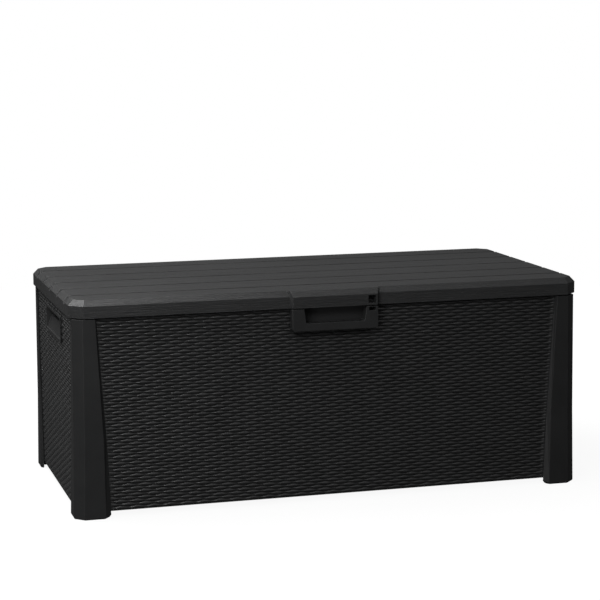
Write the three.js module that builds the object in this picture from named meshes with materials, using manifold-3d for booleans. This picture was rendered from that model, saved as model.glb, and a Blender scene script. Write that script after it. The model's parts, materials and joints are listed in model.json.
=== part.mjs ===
// Deck storage box in moulded resin: woven-look walls slotted into four corner posts, and a
// plank-topped lid on three pin hinges, carried by two gas struts. Millimetres.
// +X runs along the length, -Y is the front, +Z is up. Origin: centre of the footprint, on the ground.

import * as THREE from 'three';
import { mergeVertices } from 'three/addons/utils/BufferGeometryUtils.js';
import Module from 'manifold-3d';

const wasm = await Module();
wasm.setup();

// ---------- driving dimensions ----------
const GAP = 0.3; // between two pieces that touch

// lid
const LID_HALF_X = 725;
const LID_HALF_Y = 362;
const LID_CORNER_CUT = 35; // leg of the 45 degree corner
const SKIRT_BOTTOM = 547;
const SKIRT_TOP = 579.5;
const LID_TOP = 595;
const LID_BEVEL = 14;
const LID_WALL = 4;
const LID_CEILING = 589; // underside of the planks
const GROOVE_PITCH = 127.5;
const GROOVE_WIDTH = 8;
const GROOVE_DEPTH = 3;
const NOTCH_WIDTH = 16; // where a groove runs out over the end bevels
const NOTCH_DEPTH = 4;

// lid lining, which rests on the rim of the box
const LINING_HALF_X = 714;
const LINING_HALF_Y = 352;
const LINING_CORNER_CUT = 23;
const LINING_SEAT = 562.3;
const LINING_FIELD = 568;
const LINING_THICK = 3;
const SEAT_WIDTH = 18;

// posts
const POST_TOP = 543.8;
const POST_HALF_X_TOP = 718;
const POST_HALF_X_MIDDLE = 720;
const POST_HALF_X_FOOT = 724;
const POST_HALF_Y = 361;
const POST_CORNER_CUT = 25;
const POST_INNER_X = 695;
const POST_INNER_Y = 335;

// wall panels, given by their outer faces
const PANEL_FACE_X = 715;
const PANEL_FACE_Y = 350;
const PANEL_THICK = 6;
const PANEL_BOTTOM = 18;
const RIM_BOTTOM = 546;
const RIM_TOP = 562;
const RIM_WIDTH = 14;
const RIM_CORNER_X = 708; // where the long walls' rims end
const RIM_CORNER_Y = 334; // where the short walls' rims end
const PANEL_END_X = 662; // how far the long walls run into the posts
const PANEL_END_Y = 322;

// floor
const FLOOR_BOTTOM = 20;
const FLOOR_TOP = 25;

// front handle and the padlock cover above it
const HANDLE_FACE_Y = 378;
const HANDLE_HALF = 122;
const HANDLE_TOP = 545.7;
const HANDLE_BOTTOM = 485;
const HANDLE_BAR_TOP = 506;
const HANDLE_OPENING_TOP = 89; // half widths of the opening between the uprights
const HANDLE_OPENING_BOTTOM = 83;
const HANDLE_SLOT_BOTTOM = 533.7;
const HANDLE_SLOT_TOP = 543.7;
const COVER_BOTTOM = 548.7;
const COVER_HALF_FRONT = 120; // half widths of the cover in plan
const COVER_HALF_BACK = 126;
const COVER_WALL = 5;
const COVER_SLOT_BOTTOM = 554.5;
const SHACKLE_FRONT = 366; // how far forward the padlock's way behind the two faces reaches
const SLOT_X0 = 94; // padlock slots, right of the middle
const SLOT_X1 = 116;

// side handles
const SCOOP_HALF = 125;
const SCOOP_BOTTOM = 449;
const SCOOP_TOP = 515;
const SCOOP_LEDGE = 487; // the fingers go in above it
const SCOOP_SLOPE_DEPTH = 16;
const SCOOP_DEPTH = 38;
const SCOOP_WALL = 3;

// lid hinges
const HINGE_Y = 370;
const HINGE_Z = 541;
const HINGE_SPACING = 450;
const HINGE_HALF = 45;
const KNUCKLE_R = 8;
const KNUCKLE_HALF = 15.5; // half of the middle knuckle
const PIN_R = 3;
const BORE_R = 3.3;

// gas struts: both ends lie STRUT_ARM from the hinge axis, so a strut turns at half the lid's rate
const STRUT_X = 676;
const STRUT_ARM = 240;
const LID_END_ANGLE = 3.3; // degrees above level, seen from the hinge axis
const STRUT_SPREAD = 70; // degrees between the two ends when the lid is closed
const CYLINDER_R = 9;
const CYLINDER_START = 16;
const CYLINDER_END = 245;
const ROD_R = 4;
const ROD_LENGTH = 240;
const EYE_R = 7.5;
const EYE_BORE_R = 4.4;
const STUD_R = 4;

const SCREW_HEAD_R = 4.5;
const SCREW_HOLE_R = 2.5;
const SCREW_SHANK_R = 2;

// ---------- materials ----------
function plastic(colour, roughness) {
  return new THREE.MeshStandardMaterial({ color: colour, roughness, metalness: 0 });
}

function metal(colour, roughness) {
  return new THREE.MeshStandardMaterial({ color: colour, roughness, metalness: 1 });
}

const look = {
  weave: () => plastic(0x2c2d2e, 0.6),
  frame: () => plastic(0x2b2c2d, 0.55),
  lid: () => plastic(0x3c3d3e, 0.6),
  inside: () => plastic(0x2a2b2c, 0.65),
  strutPaint: () => plastic(0x151515, 0.35),
  steel: () => metal(0xb4b6b8, 0.3),
};

// ---------- solids ----------
function toSolid(geometry) {
  const bare = geometry.clone();
  bare.deleteAttribute('normal');
  bare.deleteAttribute('uv');
  const merged = mergeVertices(bare, 1e-4);
  const vertProperties = new Float32Array(merged.attributes.position.array);
  const triVerts = new Uint32Array(merged.index.array);
  return new wasm.Manifold(new wasm.Mesh({ numProp: 3, vertProperties, triVerts }));
}

function toGeometry(solid) {
  const mesh = solid.getMesh();
  const geometry = new THREE.BufferGeometry();
  geometry.setAttribute('position', new THREE.BufferAttribute(mesh.vertProperties, 3));
  geometry.setIndex(new THREE.BufferAttribute(mesh.triVerts, 1));
  geometry.computeVertexNormals();
  return geometry;
}

function box(x0, x1, y0, y1, z0, z1) {
  const geometry = new THREE.BoxGeometry(Math.abs(x1 - x0), Math.abs(y1 - y0), z1 - z0);
  geometry.translate((x0 + x1) / 2, (y0 + y1) / 2, (z0 + z1) / 2);
  return toSolid(geometry);
}

// A closed skin through level outlines with the same number of corners, counter-clockwise from above.
function loft(levels) {
  const count = levels[0].outline.length;
  const position = levels.flatMap(({ z, outline }) => outline.flatMap(([x, y]) => [x, y, z]));
  const index = [];
  for (let level = 0; level < levels.length - 1; level += 1) {
    for (let i = 0; i < count; i += 1) {
      const a = level * count + i;
      const b = level * count + ((i + 1) % count);
      index.push(a, b, b + count, a, b + count, a + count);
    }
  }
  const last = (levels.length - 1) * count;
  const cap = (outline) =>
    THREE.ShapeUtils.triangulateShape(outline.map(([x, y]) => new THREE.Vector2(x, y)), []);
  for (const [a, b, c] of cap(levels[0].outline)) {
    index.push(c, b, a);
  }
  for (const [a, b, c] of cap(levels[levels.length - 1].outline)) {
    index.push(last + a, last + b, last + c);
  }
  const geometry = new THREE.BufferGeometry();
  geometry.setAttribute('position', new THREE.Float32BufferAttribute(position, 3));
  geometry.setIndex(index);
  return toSolid(geometry);
}

// A plan outline carried up from z0 to z1.
function prismZ(outline, z0, z1) {
  return loft([{ z: z0, outline }, { z: z1, outline }]);
}

function shapeOf(points) {
  return new THREE.Shape(points.map(([a, b]) => new THREE.Vector2(a, b)));
}

// A side profile, given as [y, z] points, carried along X.
function prismX(points, x0, x1) {
  const geometry = new THREE.ExtrudeGeometry(shapeOf(points), { depth: x1 - x0, bevelEnabled: false });
  geometry.applyMatrix4(new THREE.Matrix4().set(0, 0, 1, x0, 1, 0, 0, 0, 0, 1, 0, 0, 0, 0, 0, 1));
  return toSolid(geometry);
}

// A front profile, given as [x, z] points or a shape, carried along Y.
function prismY(profile, y0, y1) {
  const shape = Array.isArray(profile) ? shapeOf(profile) : profile;
  const geometry = new THREE.ExtrudeGeometry(shape, {
    depth: y1 - y0,
    bevelEnabled: false,
    curveSegments: 5,
  });
  geometry.rotateX(Math.PI / 2);
  geometry.translate(0, y1, 0);
  return toSolid(geometry);
}

function cylinderX(radius, x0, x1, y, z, sides = 24) {
  const geometry = new THREE.CylinderGeometry(radius, radius, x1 - x0, sides);
  geometry.rotateZ(Math.PI / 2);
  geometry.translate((x0 + x1) / 2, y, z);
  return toSolid(geometry);
}

function cylinderY(radius, y0, y1, x, z, sides = 12) {
  const geometry = new THREE.CylinderGeometry(radius, radius, y1 - y0, sides);
  geometry.translate(x, (y0 + y1) / 2, z);
  return toSolid(geometry);
}

function cylinderZ(radius, z0, z1, x, y, sides = 12) {
  const geometry = new THREE.CylinderGeometry(radius, radius, z1 - z0, sides);
  geometry.rotateX(Math.PI / 2);
  geometry.translate(x, y, (z0 + z1) / 2);
  return toSolid(geometry);
}

// A solid of revolution about Z, from a closed [radius, height] profile.
function turned(profile, sides = 20) {
  const points = profile.map(([r, h]) => new THREE.Vector2(r, h));
  const geometry = new THREE.LatheGeometry(points, sides);
  geometry.rotateX(Math.PI / 2);
  return geometry;
}

function union(...solids) {
  return solids.reduce((whole, piece) => whole.add(piece));
}

function cut(solid, ...cutters) {
  return cutters.reduce((rest, cutter) => rest.subtract(cutter), solid);
}

// The same solid on the other side of the plane through the origin across X or Y.
function mirrored(solid, signX, signY) {
  const geometry = toGeometry(solid);
  geometry.scale(signX, signY, 1);
  if (signX * signY < 0) {
    const index = geometry.index.array;
    for (let i = 0; i < index.length; i += 3) {
      [index[i], index[i + 1]] = [index[i + 1], index[i]];
    }
  }
  return toSolid(geometry);
}

const group = new THREE.Group();

function addPiece(name, solid, material) {
  const mesh = new THREE.Mesh(toGeometry(solid), material());
  mesh.name = name;
  group.add(mesh);
  return mesh;
}

// ---------- outlines ----------
// A rectangle with 45 degree corners; inset moves every side in by the same distance.
function cutCornerOutline(halfX, halfY, corner, inset = 0) {
  const x = halfX - inset;
  const y = halfY - inset;
  const c = corner - inset * (2 - Math.SQRT2);
  return [
    [x, c - y],
    [x, y - c],
    [x - c, y],
    [c - x, y],
    [-x, y - c],
    [-x, c - y],
    [c - x, -y],
    [x - c, -y],
  ];
}

function lidOutline(inset) {
  return cutCornerOutline(LID_HALF_X, LID_HALF_Y, LID_CORNER_CUT, inset);
}

// ---------- floor ----------
function floorSolid() {
  const postReachX = PANEL_END_X - 8.5;
  const postReachY = PANEL_END_Y - 8.5;
  const bodyX = POST_INNER_X - 0.5;
  const bodyY = POST_INNER_Y - 0.5;
  const wallX = PANEL_FACE_X - PANEL_THICK - GAP;
  const wallY = PANEL_FACE_Y - PANEL_THICK - GAP;
  const ribBottom = 14;
  const ribSpacing = 280;
  let solid = union(
    box(-bodyX, bodyX, -bodyY, bodyY, FLOOR_BOTTOM, FLOOR_TOP),
    box(-postReachX, postReachX, -wallY, wallY, FLOOR_BOTTOM, FLOOR_TOP),
    box(-wallX, wallX, -postReachY, postReachY, FLOOR_BOTTOM, FLOOR_TOP),
  );
  for (let i = -2; i <= 2; i += 1) {
    const x = i * ribSpacing;
    solid = solid.add(box(x - 7, x + 7, -300, 300, ribBottom, FLOOR_BOTTOM + 1));
  }
  for (const y of [-200, 200]) {
    solid = solid.add(box(-600, 600, y - 6, y + 6, ribBottom, FLOOR_BOTTOM + 1));
  }
  return solid;
}

// ---------- walls ----------
const HANDLE_WELL = { halfX: 96, z0: 500, z1: HANDLE_TOP, depth: 15, wall: 3 };

// The rims' ends are cut at 45 degrees to clear the lid's corners.
function longWall() {
  const outer = -PANEL_FACE_Y;
  const plate = box(-PANEL_END_X, PANEL_END_X, outer, outer + PANEL_THICK, PANEL_BOTTOM, RIM_TOP);
  const outerX = RIM_CORNER_X - RIM_WIDTH;
  const rimOutline = [
    [-outerX, outer],
    [outerX, outer],
    [RIM_CORNER_X, outer + RIM_WIDTH],
    [-RIM_CORNER_X, outer + RIM_WIDTH],
  ];
  return plate.add(prismZ(rimOutline, RIM_BOTTOM, RIM_TOP));
}

function frontWall() {
  const { halfX, z0 } = HANDLE_WELL;
  const outer = -PANEL_FACE_Y;
  const well = box(-halfX - GAP, halfX + GAP, outer - 1, outer + 8, z0 - GAP, RIM_BOTTOM);
  return cut(longWall(), well);
}

const HINGE_CENTRES = [
  ['left', -HINGE_SPACING],
  ['centre', 0],
  ['right', HINGE_SPACING],
];
const HINGE_SCREW_OFFSET = 28;
const BODY_LEAF = { y0: PANEL_FACE_Y + GAP, y1: PANEL_FACE_Y + 3.8, z0: 478, z1: 534, screwZ: 494 };
const LID_LEAF = { y0: LID_HALF_Y + GAP, y1: LID_HALF_Y + 3.8, z0: 550, z1: 577, screwZ: 568 };

function hingeHoles(leaf, y0, y1) {
  const holes = [];
  for (const [, x] of HINGE_CENTRES) {
    for (const side of [-1, 1]) {
      holes.push(cylinderY(SCREW_HOLE_R, y0, y1, x + side * HINGE_SCREW_OFFSET, leaf.screwZ));
    }
  }
  return holes;
}

function backWall() {
  const holes = hingeHoles(BODY_LEAF, PANEL_FACE_Y - PANEL_THICK + 1, PANEL_FACE_Y + 1);
  return cut(mirrored(longWall(), 1, -1), ...holes);
}

// Lower pivot of the right strut, on the box, and upper pivot, on the lid.
const radians = THREE.MathUtils.degToRad;
const LOWER_ANGLE = STRUT_SPREAD - LID_END_ANGLE;
const LOWER_PIVOT = {
  y: HINGE_Y - STRUT_ARM * Math.cos(radians(LOWER_ANGLE)),
  z: HINGE_Z - STRUT_ARM * Math.sin(radians(LOWER_ANGLE)),
};
const UPPER_PIVOT = {
  y: HINGE_Y - STRUT_ARM * Math.cos(radians(LID_END_ANGLE)),
  z: HINGE_Z + STRUT_ARM * Math.sin(radians(LID_END_ANGLE)),
};
const BRACKET_SCREW_Z = 20; // from the lower pivot, up and down

function sideWall() {
  const outer = PANEL_FACE_X;
  const plate = box(outer - PANEL_THICK, outer, -PANEL_END_Y, PANEL_END_Y, PANEL_BOTTOM, RIM_TOP);
  const rimCut = 8;
  const rimOutline = [
    [outer - RIM_WIDTH, -RIM_CORNER_Y],
    [outer - rimCut, -RIM_CORNER_Y],
    [outer, rimCut - RIM_CORNER_Y],
    [outer, RIM_CORNER_Y - rimCut],
    [outer - rimCut, RIM_CORNER_Y],
    [outer - RIM_WIDTH, RIM_CORNER_Y],
  ];
  const rim = prismZ(rimOutline, RIM_BOTTOM, RIM_TOP);
  const reach = SCOOP_HALF + GAP;
  const scoop = box(outer - 20, outer + 1, -reach, reach, SCOOP_BOTTOM - GAP, SCOOP_TOP + GAP);
  const { y, z } = LOWER_PIVOT;
  const holes = [-1, 1].map((side) =>
    cylinderX(SCREW_HOLE_R, outer - 8, outer - 1, y, z + side * BRACKET_SCREW_Z, 12),
  );
  return cut(plate.add(rim), scoop, ...holes);
}

// ---------- corner posts ----------
// Section of the post at the +X +Y corner. The arms widen downwards and their inner flanks slope
// back to the walls, which stand in slots.
const POST_LEVELS = [
  { z: 0, half: POST_HALF_X_FOOT - 2, faceX: 644, baseX: 637, faceY: 284, baseY: 278, cutIn: 2 },
  { z: 3, half: POST_HALF_X_FOOT, faceX: 641.5, baseX: 630, faceY: 280, baseY: 272, cutIn: 0 },
  { z: 9, half: POST_HALF_X_FOOT, faceX: 641, baseX: 625, faceY: 280, baseY: 269, cutIn: 0 },
  { z: 215, half: POST_HALF_X_MIDDLE, faceX: 643, baseX: 634, faceY: 296, baseY: 288, cutIn: 0 },
  { z: POST_TOP, half: POST_HALF_X_TOP, faceX: 659, baseX: 655, faceY: 316, baseY: 312, cutIn: 0 },
];

function postOutline({ half, faceX, baseX, faceY, baseY, cutIn }) {
  const outerY = POST_HALF_Y - cutIn;
  const slotX = PANEL_END_X + 0.5;
  const slotY = PANEL_END_Y + 0.5;
  const lipX = PANEL_END_X - 8;
  const lipY = PANEL_END_Y - 8;
  const panelBackX = PANEL_FACE_X - PANEL_THICK - GAP;
  const panelBackY = PANEL_FACE_Y - PANEL_THICK - GAP;
  return [
    [half, faceY],
    [half, outerY - POST_CORNER_CUT],
    [half - POST_CORNER_CUT, outerY],
    [faceX, outerY],
    [baseX, PANEL_FACE_Y + GAP],
    [slotX, PANEL_FACE_Y + GAP],
    [slotX, panelBackY],
    [lipX, panelBackY],
    [lipX, POST_INNER_Y],
    [POST_INNER_X, POST_INNER_Y],
    [POST_INNER_X, lipY],
    [panelBackX, lipY],
    [panelBackX, slotY],
    [PANEL_FACE_X + GAP, slotY],
    [PANEL_FACE_X + GAP, baseY],
  ];
}

function postSolid() {
  return loft(POST_LEVELS.map((level) => ({ z: level.z, outline: postOutline(level) })));
}

// ---------- side handles ----------
function scoopSolid() {
  const face = PANEL_FACE_X;
  const floorX = face - SCOOP_DEPTH;
  const sideProfile = (points, half) => prismY(points.map(([x, z]) => [x, z]), -half, half);
  const shell = sideProfile(
    [
      [face + 0.5, SCOOP_BOTTOM],
      [face + 0.5, SCOOP_TOP],
      [floorX, SCOOP_TOP],
      [floorX, SCOOP_LEDGE - SCOOP_WALL],
      [face - SCOOP_SLOPE_DEPTH, SCOOP_LEDGE - SCOOP_WALL],
      [face - 4, SCOOP_BOTTOM],
    ],
    SCOOP_HALF,
  );
  const innerBottom = SCOOP_BOTTOM + SCOOP_WALL + 1;
  const hollow = sideProfile(
    [
      [face + 5, innerBottom],
      [face + 5, SCOOP_TOP - SCOOP_WALL],
      [floorX + SCOOP_WALL, SCOOP_TOP - SCOOP_WALL],
      [floorX + SCOOP_WALL, SCOOP_LEDGE],
      [face - SCOOP_SLOPE_DEPTH + SCOOP_WALL, SCOOP_LEDGE],
      [face - 1, innerBottom],
    ],
    SCOOP_HALF - SCOOP_WALL,
  );
  const flange = box(
    face + GAP,
    face + 2.5,
    -SCOOP_HALF - 4,
    SCOOP_HALF + 4,
    SCOOP_BOTTOM - 4,
    SCOOP_TOP + 4,
  );
  return cut(shell.add(flange), hollow);
}

// ---------- front handle ----------
function handleOutline() {
  const outerRadius = 8;
  const innerRadius = 5;
  const top = HANDLE_TOP;
  const half = HANDLE_OPENING_BOTTOM;
  const barTop = HANDLE_BAR_TOP;
  const outline = new THREE.Shape();
  outline.moveTo(-HANDLE_HALF, top);
  outline.lineTo(-HANDLE_HALF, HANDLE_BOTTOM + outerRadius);
  outline.quadraticCurveTo(-HANDLE_HALF, HANDLE_BOTTOM, outerRadius - HANDLE_HALF, HANDLE_BOTTOM);
  outline.lineTo(HANDLE_HALF - outerRadius, HANDLE_BOTTOM);
  outline.quadraticCurveTo(HANDLE_HALF, HANDLE_BOTTOM, HANDLE_HALF, HANDLE_BOTTOM + outerRadius);
  outline.lineTo(HANDLE_HALF, top);
  outline.lineTo(HANDLE_OPENING_TOP, top);
  outline.lineTo(half + 1, barTop + innerRadius);
  outline.quadraticCurveTo(half, barTop, half - innerRadius, barTop);
  outline.lineTo(innerRadius - half, barTop);
  outline.quadraticCurveTo(-half, barTop, -half - 1, barTop + innerRadius);
  outline.lineTo(-HANDLE_OPENING_TOP, top);
  return outline;
}

function handleSolid() {
  const frame = prismY(handleOutline(), -HANDLE_FACE_Y, -PANEL_FACE_Y - GAP);

  const { halfX, z0, z1, depth, wall } = HANDLE_WELL;
  const wellFront = -PANEL_FACE_Y - 2;
  const wellBack = -PANEL_FACE_Y + depth;
  const well = box(-halfX, halfX, wellFront, wellBack, z0, z1);
  const hollow = box(wall - halfX, halfX - wall, wellFront - 1, wellBack - wall, z0 + wall, z1 + 1);

  const x0 = SLOT_X0 + 2;
  const x1 = SLOT_X1 - 1;
  const wayBack = -PANEL_FACE_Y - 3;
  const slot = box(x0, x1, -HANDLE_FACE_Y - 1, wayBack, HANDLE_SLOT_BOTTOM, HANDLE_SLOT_TOP);
  const shackleWay = box(x0, x1, -SHACKLE_FRONT, wayBack, HANDLE_SLOT_BOTTOM, z1 + 1);
  return cut(frame.add(cut(well, hollow)), slot, shackleWay);
}

// ---------- lid ----------
function padlockCover() {
  const slope = (COVER_HALF_BACK - COVER_HALF_FRONT) / (HANDLE_FACE_Y - LID_HALF_Y + 1);
  const outlineAt = (front, back) => {
    const halfAt = (y) => COVER_HALF_BACK - (y - LID_HALF_Y + 1) * slope;
    return [
      [-halfAt(front), -front],
      [halfAt(front), -front],
      [halfAt(back), -back],
      [-halfAt(back), -back],
    ];
  };
  return loft([
    { z: COVER_BOTTOM, outline: outlineAt(HANDLE_FACE_Y, LID_HALF_Y - 2) },
    { z: SKIRT_TOP, outline: outlineAt(HANDLE_FACE_Y, LID_HALF_Y - 2) },
    { z: LID_TOP, outline: outlineAt(HANDLE_FACE_Y - LID_BEVEL, LID_HALF_Y - LID_BEVEL - 2) },
  ]);
}

// A wider notch for a groove's run down the bevel at the +X end.
function notchCutter(y) {
  const top = LID_TOP + 1;
  const outerX = LID_HALF_X + 5;
  const rise = LID_TOP - SKIRT_TOP;
  const slope = rise / LID_BEVEL;
  const depth = NOTCH_DEPTH * Math.hypot(1, slope);
  const zAt = (x) => SKIRT_TOP + (LID_HALF_X - x) * slope - depth;
  const innerX = LID_HALF_X - (top - SKIRT_TOP + depth) / slope;
  return prismY(
    [
      [innerX, top],
      [outerX, zAt(outerX)],
      [outerX, top],
    ],
    y - NOTCH_WIDTH / 2,
    y + NOTCH_WIDTH / 2,
  );
}

// Follows the plateau and the two end bevels, GROOVE_DEPTH below them.
function grooveCutter(y) {
  const plateau = LID_TOP - GROOVE_DEPTH;
  const bevelLine = LID_HALF_X - LID_BEVEL + LID_TOP - GROOVE_DEPTH * Math.SQRT2;
  const kneeX = bevelLine - plateau;
  const endX = LID_HALF_X + 5;
  const points = [
    [-endX, bevelLine - endX],
    [-kneeX, plateau],
    [kneeX, plateau],
    [endX, bevelLine - endX],
    [endX, LID_TOP + 5],
    [-endX, LID_TOP + 5],
  ];
  return prismY(points, y - GROOVE_WIDTH / 2, y + GROOVE_WIDTH / 2);
}

function lidSolid() {
  const outer = loft([
    { z: SKIRT_BOTTOM, outline: lidOutline(0) },
    { z: SKIRT_TOP, outline: lidOutline(0) },
    { z: LID_TOP, outline: lidOutline(LID_BEVEL) },
  ]);
  const ceilingInset = LID_WALL + 14;
  const hollow = loft([
    { z: SKIRT_BOTTOM - 1, outline: lidOutline(LID_WALL) },
    { z: SKIRT_TOP - 5, outline: lidOutline(LID_WALL) },
    { z: LID_CEILING, outline: lidOutline(ceilingInset) },
  ]);
  const below = SKIRT_BOTTOM - 1;
  const wayBack = -LID_HALF_Y + 6;
  const slotTop = SKIRT_TOP - 3.5;
  const coverX0 = 1 + COVER_WALL - COVER_HALF_FRONT;
  const coverX1 = SLOT_X0 - 4;
  const coverFront = COVER_WALL - HANDLE_FACE_Y;
  const coverHollow = box(coverX0, coverX1, coverFront, wayBack, below, SKIRT_TOP - 4);
  const shackleWay = box(SLOT_X0, SLOT_X1, -SHACKLE_FRONT, wayBack, below, slotTop);
  const slot = box(SLOT_X0, SLOT_X1, -HANDLE_FACE_Y - 1, wayBack, COVER_SLOT_BOTTOM, slotTop);
  const grooves = [-2, -1, 0, 1, 2].flatMap((i) => {
    const notch = notchCutter(i * GROOVE_PITCH);
    return [grooveCutter(i * GROOVE_PITCH), notch, mirrored(notch, -1, 1)];
  });
  const hinges = hingeHoles(LID_LEAF, LID_HALF_Y - LID_WALL - 1, LID_HALF_Y + 1);
  return cut(outer.add(padlockCover()), hollow, coverHollow, shackleWay, slot, ...grooves, ...hinges);
}

const UPPER_PLATE = { x0: 652, x1: 692, y0: UPPER_PIVOT.y - 26, y1: UPPER_PIVOT.y + 26, thick: 3 };
const UPPER_SCREW = { x: 664, offset: 16 };

function liningSolid() {
  const top = LINING_FIELD + LINING_THICK;
  const wallTop = top + 5;
  const block = (inset, z0, z1) =>
    prismZ(cutCornerOutline(LINING_HALF_X, LINING_HALF_Y, LINING_CORNER_CUT, inset), z0, z1);
  const outer = block(0, LINING_SEAT, wallTop);
  const upper = block(3, top, wallTop + 1);
  const lower = block(SEAT_WIDTH, LINING_SEAT - 1, LINING_FIELD);
  let solid = cut(outer, upper, lower);
  const ribBottom = LINING_FIELD - 3.5;
  const ribEnd = LINING_HALF_Y - SEAT_WIDTH;
  for (let i = -3; i <= 3; i += 1) {
    const x = i * 160;
    solid = solid.add(box(x - 5, x + 5, -ribEnd, ribEnd, ribBottom, LINING_FIELD + 1));
  }
  for (const y of [-170, 170]) {
    solid = solid.add(box(-600, 600, y - 5, y + 5, ribBottom, LINING_FIELD + 1));
  }
  const holes = [];
  for (const side of [-1, 1]) {
    for (const end of [-1, 1]) {
      const y = UPPER_PIVOT.y + end * UPPER_SCREW.offset;
      holes.push(cylinderZ(SCREW_HOLE_R, LINING_FIELD - 1, top + 1, side * UPPER_SCREW.x, y));
    }
  }
  return cut(solid, ...holes);
}

function braceSolid(y) {
  const half = 7.5;
  const z0 = LINING_FIELD + LINING_THICK + GAP;
  const z1 = z0 + 2 * half;
  const wall = 1.5;
  const outer = box(-660, 660, y - half, y + half, z0, z1);
  return cut(outer, box(-661, 661, y - half + wall, y + half - wall, z0 + wall, z1 - wall));
}

// ---------- hinges ----------
function knuckle(x0, x1) {
  return cylinderX(KNUCKLE_R, x0, x1, HINGE_Y, HINGE_Z);
}

function pinBore(x) {
  return cylinderX(BORE_R, x - HINGE_HALF - 5, x + HINGE_HALF + 5, HINGE_Y, HINGE_Z);
}

function bodyLeafSolid(x) {
  const { y0, y1, z0, z1, screwZ } = BODY_LEAF;
  const neck = [
    [y0, z1 - 18],
    [y0 + 6, z1 - 20],
    [HINGE_Y + 2, HINGE_Z - KNUCKLE_R + 1],
    [HINGE_Y - KNUCKLE_R + 1, HINGE_Z + 2],
    [y0, z1],
  ];
  let solid = box(x - HINGE_HALF, x + HINGE_HALF, y0, y1, z0, z1);
  for (const side of [-1, 1]) {
    const inner = x + side * (KNUCKLE_HALF + 0.5);
    const outer = x + side * HINGE_HALF;
    const x0 = Math.min(inner, outer);
    const x1 = Math.max(inner, outer);
    solid = union(solid, knuckle(x0, x1), prismX(neck, x0, x1));
  }
  const holes = [-1, 1].map((side) =>
    cylinderY(SCREW_HOLE_R, y0 - 1, y1 + 1, x + side * HINGE_SCREW_OFFSET, screwZ),
  );
  return cut(solid, pinBore(x), ...holes);
}

function lidLeafSolid(x) {
  const { y0, y1, z0, z1, screwZ } = LID_LEAF;
  const neck = [
    [y0, z0 + 1],
    [HINGE_Y - 4.5, HINGE_Z + 4],
    [HINGE_Y + 3, HINGE_Z + KNUCKLE_R - 1],
    [y1, z0 + 8],
    [y0, z0 + 8],
  ];
  const solid = union(
    box(x - HINGE_HALF, x + HINGE_HALF, y0, y1, z0, z1),
    knuckle(x - KNUCKLE_HALF, x + KNUCKLE_HALF),
    prismX(neck, x - KNUCKLE_HALF, x + KNUCKLE_HALF),
  );
  const holes = [-1, 1].map((side) =>
    cylinderY(SCREW_HOLE_R, y0 - 1, y1 + 1, x + side * HINGE_SCREW_OFFSET, screwZ),
  );
  return cut(solid, pinBore(x), ...holes);
}

function hingePinSolid(x) {
  const shaft = cylinderX(PIN_R, x - HINGE_HALF - 1, x + HINGE_HALF + 1.5, HINGE_Y, HINGE_Z);
  const head = cylinderX(PIN_R + 2, x - HINGE_HALF - 3, x - HINGE_HALF - 0.5, HINGE_Y, HINGE_Z);
  return shaft.add(head);
}

// ---------- gas struts ----------
const CLOSED_SPAN = 2 * STRUT_ARM * Math.sin(radians(STRUT_SPREAD / 2));
const STRUT_TILT = Math.atan2(LOWER_PIVOT.y - UPPER_PIVOT.y, UPPER_PIVOT.z - LOWER_PIVOT.z);

// Stands a piece made along Z from the lower pivot into the strut's closed position.
function alongStrut(geometry, x) {
  geometry.rotateX(STRUT_TILT);
  geometry.translate(x, LOWER_PIVOT.y, LOWER_PIVOT.z);
  return toSolid(geometry);
}

function eyeAt(pivot, x) {
  return cylinderX(EYE_R, x - 5, x + 5, pivot.y, pivot.z);
}

function eyeBore(pivot, x) {
  return cylinderX(EYE_BORE_R, x - 6, x + 6, pivot.y, pivot.z);
}

function strutCylinderSolid(x) {
  const boreR = 5.6;
  const floor = CYLINDER_START + 8;
  const guide = CYLINDER_END - 8;
  const tube = turned([
    [0, CYLINDER_START],
    [CYLINDER_R, CYLINDER_START],
    [CYLINDER_R, CYLINDER_END],
    [ROD_R + 0.5, CYLINDER_END],
    [ROD_R + 0.5, guide],
    [boreR, guide],
    [boreR, floor],
    [0, floor],
  ]);
  const neck = turned([
    [0, 3],
    [5, 3],
    [5, CYLINDER_START + 1],
    [0, CYLINDER_START + 1],
  ]);
  const solid = union(alongStrut(tube, x), alongStrut(neck, x), eyeAt(LOWER_PIVOT, x));
  return cut(solid, eyeBore(LOWER_PIVOT, x));
}

function strutRodSolid(x) {
  const start = CLOSED_SPAN - ROD_LENGTH;
  const rod = turned([
    [0, start],
    [ROD_R, start],
    [ROD_R, CLOSED_SPAN - 3],
    [0, CLOSED_SPAN - 3],
  ]);
  const socketStart = CYLINDER_END + 6;
  const socket = turned([
    [0, socketStart],
    [5, socketStart],
    [5, CLOSED_SPAN - 3],
    [0, CLOSED_SPAN - 3],
  ]);
  const solid = union(alongStrut(rod, x), alongStrut(socket, x), eyeAt(UPPER_PIVOT, x));
  return cut(solid, eyeBore(UPPER_PIVOT, x));
}

const LOWER_PLATE = { x1: PANEL_FACE_X - PANEL_THICK - GAP, thick: 3, halfY: 12, halfZ: 30 };

function lowerBracketSolid() {
  const { x1, thick, halfY, halfZ } = LOWER_PLATE;
  const { y, z } = LOWER_PIVOT;
  const plate = box(x1 - thick, x1, y - halfY, y + halfY, z - halfZ, z + halfZ);
  const boss = cylinderX(9, STRUT_X + 9, x1 - 1, y, z);
  const bore = cylinderX(STUD_R + GAP, STRUT_X, x1 + 1, y, z);
  const holes = [-1, 1].map((side) =>
    cylinderX(SCREW_HOLE_R, x1 - thick - 1, x1 + 1, y, z + side * BRACKET_SCREW_Z, 12),
  );
  return cut(plate.add(boss), bore, ...holes);
}

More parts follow.
